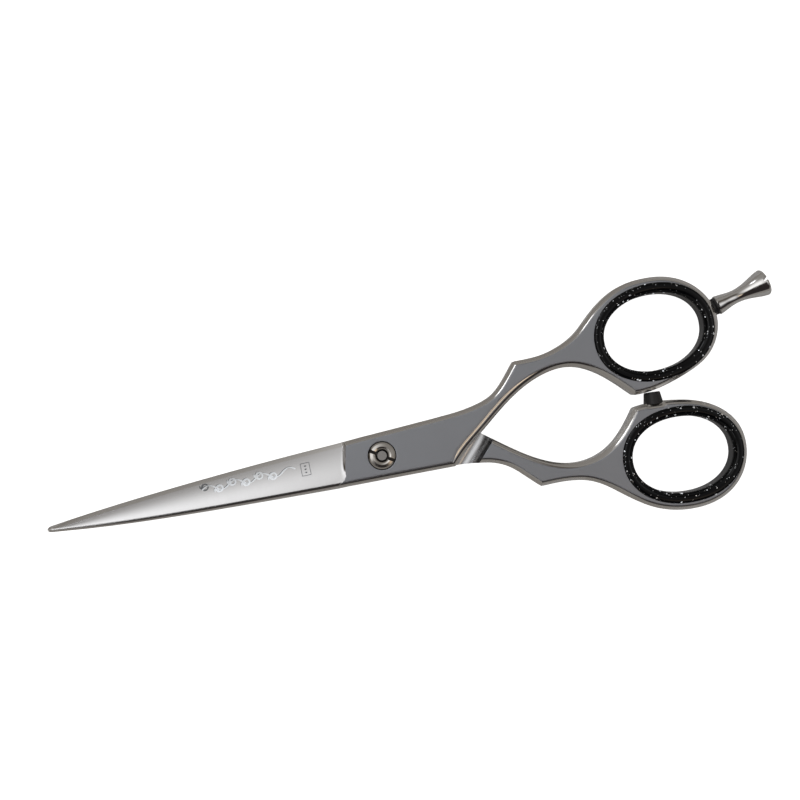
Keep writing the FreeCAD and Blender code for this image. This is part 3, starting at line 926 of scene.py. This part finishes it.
def finish_cad_nodes():
    """Materials on the CAD nodes that are kept, with the nut's slots painted near-black as shade."""
    for node, mat in FINISH.items():
        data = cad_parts[node].data
        data.materials.clear()
        data.materials.append(mat)
    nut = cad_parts["tension_nut"].data
    nut.materials.append(SLOT_SHADE_STEEL)
    for face in nut.polygons:
        if face.center.z < SLOT_TOP * MM and face.center.xy.length < NUT_BODY * MM:
            face.material_index = 1


finger = Lever("finger_lever", False)
thumb = Lever("thumb_lever", True)
add_lever(finger, "finger_side")
add_lever(thumb, "thumb_side")
add_grommet(finger, "finger_side", 11)
add_grommet(thumb, "thumb_side", 12)
add_ornament(finger, "finger_side")
finish_cad_nodes()


# ---------------------------------------------------------------- studio

# The surround, and the least glow anywhere; the large soft overhead light, with its edges across and along
# the shears; the dark flag on the spine side; and what the horizon adds. Edges are components of a direction.
SURROUND = (0.345, 0.33, 0.315)
FAINT_GLOW = (0.02, 0.021, 0.023)
OVERHEAD = (1.1, 1.11, 1.13)
OVERHEAD_Y = (-0.16, 0.0, 0.16, 0.74)
OVERHEAD_X = (-0.62, -0.42, -0.3, 0.15)
FLAG = (-0.315, -0.305, -0.29)
FLAG_Y = (-0.22, -0.06)
FLAG_X = (-0.42, -0.31)
FLAG_Z = (0.22, 0.42)
HORIZON = (-0.05, -0.055, -0.06)
HORIZON_Z = (0.05, 0.45)
# Small panels: azimuth, angle off the zenith, half width and half height in degrees, softness and colour.
# A negative colour is a dark flag.
PANELS = (
    (-52, 20, 6, 6, 0.5, (1.3, 1.05, 0.8)),
    (-8, 30, 12, 22, 0.6, (0.7, 0.7, 0.72)),
    (215, 28, 5, 5, 0.5, (2.4, 2.4, 2.4)),
    (128, 60, 7, 8, 0.3, (4.0, 4.1, 4.3)),
    (174, 56, 24, 16, 0.4, (-0.28, -0.28, -0.28)),
    (48, 38, 20, 18, 0.5, (-0.22, -0.22, -0.22)),
)
X_AXIS, Y_AXIS, Z_AXIS = (1, 0, 0), (0, 1, 0), (0, 0, 1)
GRAZING = 0.001
WHITE = (1, 1, 1, 1)
FLOOR_RADIUS = 1.6
FLOOR_Z = -0.0001


def direction(azimuth, polar):
    """Unit vector from an azimuth in the part frame and an angle off the zenith, in degrees."""
    a, p = math.radians(azimuth), math.radians(polar)
    return Vector((math.sin(p) * math.cos(a), math.sin(p) * math.sin(a), math.cos(p)))


def add_studio():
    """A world drawn by direction: soft lights and flags over a dim surround, and white to the camera."""
    world = bpy.data.worlds.new("studio")
    bpy.context.scene.world = world
    world.use_nodes = True
    tree = world.node_tree
    tree.nodes.clear()
    new = tree.nodes.new
    link = tree.links.new
    coord = new("ShaderNodeTexCoord").outputs["Generated"]

    def feed(node, *values):
        """Sets a node's first inputs, each to a value or to what another node gives."""
        for socket, value in zip(node.inputs, values):
            if isinstance(value, bpy.types.NodeSocket):
                link(value, socket)
            else:
                socket.default_value = value

    def math_node(operation, *values):
        """A sum, product and so on of numbers."""
        node = new("ShaderNodeMath")
        node.operation = operation
        feed(node, *values)
        return node.outputs["Value"]

    def vector_node(operation, output, *values):
        """The same for vectors."""
        node = new("ShaderNodeVectorMath")
        node.operation = operation
        feed(node, *values)
        return node.outputs[output]

    def dot(v):
        """The ray's component along a vector."""
        return vector_node("DOT_PRODUCT", "Value", coord, v)

    def step(value, lo, hi):
        """Smooth rise from 0 to 1 between two values."""
        node = new("ShaderNodeMapRange")
        node.interpolation_type = "SMOOTHSTEP"
        feed(node, value, lo, hi)
        return node.outputs["Result"]

    def less(value):
        """What is left of 1."""
        return math_node("SUBTRACT", 1.0, value)

    def panel(azimuth, polar, half_u, half_v, soft):
        """Mask of a soft elliptical panel."""
        c = direction(azimuth, polar)
        e1 = (Vector(X_AXIS) - c * c.x).normalized()
        e2 = c.cross(e1)
        front = math_node("MAXIMUM", dot(c), GRAZING)
        u, v = (math_node("DIVIDE", math_node("DIVIDE", dot(e), front), math.tan(math.radians(half)))
                for e, half in ((e1, half_u), (e2, half_v)))
        r = math_node("SQRT", math_node("ADD", math_node("MULTIPLY", u, u), math_node("MULTIPLY", v, v)))
        return less(step(r, 1 - soft, 1 + soft))

    def band(axis, edges):
        """Smooth rise between the first two edges of a direction component, and fall between the last two."""
        value = dot(axis)
        return math_node("SUBTRACT", step(value, *edges[:2]), step(value, *edges[2:]))

    def add(light, mask, colour):
        """Light with a colour added where a mask is."""
        return vector_node("MULTIPLY_ADD", "Vector", mask, colour, light)

    overhead = math_node("MULTIPLY", band(Y_AXIS, OVERHEAD_Y), band(X_AXIS, OVERHEAD_X))
    flag = math_node("MULTIPLY", less(step(dot(Y_AXIS), *FLAG_Y)), step(dot(X_AXIS), *FLAG_X))
    flag = math_node("MULTIPLY", flag, step(dot(Z_AXIS), *FLAG_Z))
    light = add(SURROUND, overhead, OVERHEAD)
    light = add(light, flag, FLAG)
    light = add(light, less(step(dot(Z_AXIS), *HORIZON_Z)), HORIZON)
    for *shape, colour in PANELS:
        light = add(light, panel(*shape), colour)
    backdrop = new("ShaderNodeMix")
    backdrop.data_type = "RGBA"
    factor, a, b = (backdrop.inputs[i] for i in (0, 6, 7))
    link(new("ShaderNodeLightPath").outputs["Is Camera Ray"], factor)
    link(vector_node("MAXIMUM", "Vector", light, FAINT_GLOW), a)
    b.default_value = WHITE
    background = new("ShaderNodeBackground")
    link(backdrop.outputs[2], background.inputs["Color"])
    link(background.outputs["Background"], new("ShaderNodeOutputWorld").inputs["Surface"])


def add_floor():
    """A pale disc under the shears, clear when it is seen from below."""
    bm = bmesh.new()
    bmesh.ops.create_circle(bm, cap_ends=True, segments=96, radius=FLOOR_RADIUS)
    mesh = bpy.data.meshes.new("floor")
    bm.to_mesh(mesh)
    bm.free()
    mat, tree, shader = material("studio_floor")
    ramp(tree, noise(tree, 3.0), grey(0.88), grey(0.9), shader.inputs["Base Color"])
    shader.inputs["Roughness"].default_value = 0.9
    shader.inputs["Emission Color"].default_value = WHITE
    seen = tree.nodes.new("ShaderNodeLightPath").outputs["Is Camera Ray"]
    tree.links.new(seen, shader.inputs["Emission Strength"])
    solid = tree.nodes.new("ShaderNodeMath")
    solid.operation = "SUBTRACT"
    solid.inputs[0].default_value = 1.0
    tree.links.new(tree.nodes.new("ShaderNodeNewGeometry").outputs["Backfacing"], solid.inputs[1])
    tree.links.new(solid.outputs["Value"], shader.inputs["Alpha"])
    mesh.materials.append(mat)
    floor = new_object("floor", mesh)
    floor.location.z = FLOOR_Z


def add_camera():
    """The photograph's view, from straight above."""
    data = bpy.data.cameras.new("camera")
    data.lens = 54.5
    data.sensor_width = 36.0
    data.clip_start = 0.01
    camera = new_object("camera", data)
    camera.location = (0.0070, 0.0118, 0.290)
    camera.rotation_euler = (0, 0, math.radians(-12.82))
    bpy.context.scene.camera = camera


add_studio()
add_floor()
add_camera()
bpy.context.scene.view_settings.view_transform = "Standard"
